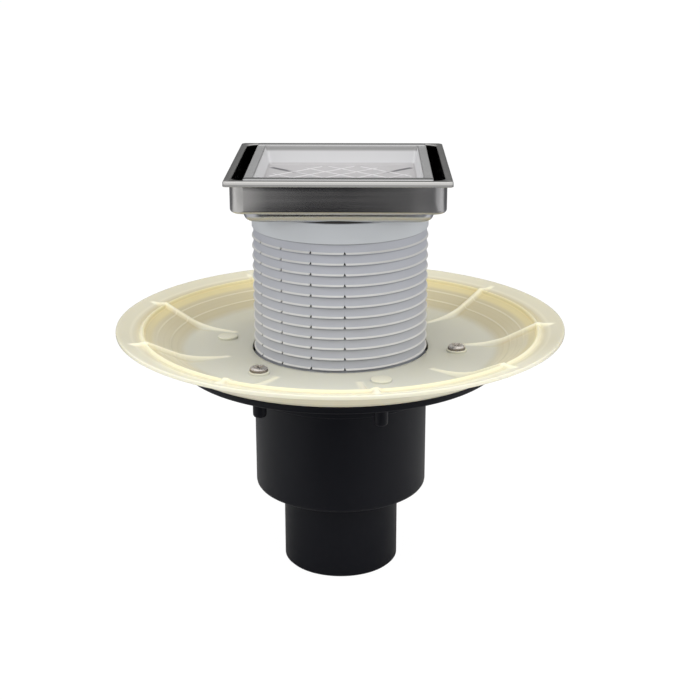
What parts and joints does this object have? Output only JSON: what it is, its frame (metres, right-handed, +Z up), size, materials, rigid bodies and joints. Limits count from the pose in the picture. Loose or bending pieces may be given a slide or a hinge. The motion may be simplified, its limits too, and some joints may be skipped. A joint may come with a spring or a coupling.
{
  "type": "floor drain",
  "caption": "Round floor drain with a vertical outlet, a clamping flange, a height-adjustable ribbed neck, a square steel frame with a tile tray, and a floating-bell odour trap inside.",
  "frame": {"origin": "centre of the outlet spigot's lower end, which is the face the drain stands on", "axes": "+Z up along the pipe's axis; X and Y along the sides of the square steel frame, with the drainage slots at -X and +X"},
  "size_m": [0.1903, 0.1902, 0.179],
  "materials": {
    "black_plastic": "moulded black polypropylene, satin",
    "cream_plastic": "natural polypropylene, slightly translucent",
    "grey_plastic": "moulded grey polypropylene, satin",
    "white_plastic": "moulded white polypropylene",
    "frame_steel": "pressed stainless steel, brushed rim",
    "tray_steel": "folded stainless steel, brushed strips",
    "screw_steel": "bright stainless steel",
    "black_rubber": "moulded rubber"
  },
  "bodies": {
    "drain_body": {"trap_body": "black_plastic", "flange_gasket": "black_rubber", "clamp_flange": "cream_plastic", "clamp_screws": "screw_steel", "cup_seal": "black_rubber", "trap_cup": "white_plastic", "standpipe": "white_plastic", "trap_bridge": "white_plastic"},
    "seal_ring": {"neck_seal": "black_rubber"},
    "neck_and_frame": {"neck": "grey_plastic", "frame_pan": "frame_steel", "pan_gasket": "black_rubber", "lock_ring": "grey_plastic", "tile_tray": "tray_steel", "tray_feet": "grey_plastic", "hair_strainer": "tray_steel", "strainer_knob": "grey_plastic"},
    "float": {"float_bell": "white_plastic", "float_cap": "white_plastic", "bell_seal": "black_rubber", "guide_stem": "grey_plastic"}
  },
  "joints": [
    {"name": "neck_height", "type": "slide", "parent": "drain_body", "child": "seal_ring", "axis": [0, 0, 1], "range_m": [0, 0.008]},
    {"name": "neck_turn", "type": "hinge", "parent": "seal_ring", "child": "neck_and_frame", "pos_m": [0, 0, 0.0858], "axis": [0, 0, 1], "continuous": true},
    {"name": "bell_float", "type": "slide", "parent": "drain_body", "child": "float", "axis": [0, 0, 1], "range_m": [0, 0.008]}
  ]
}
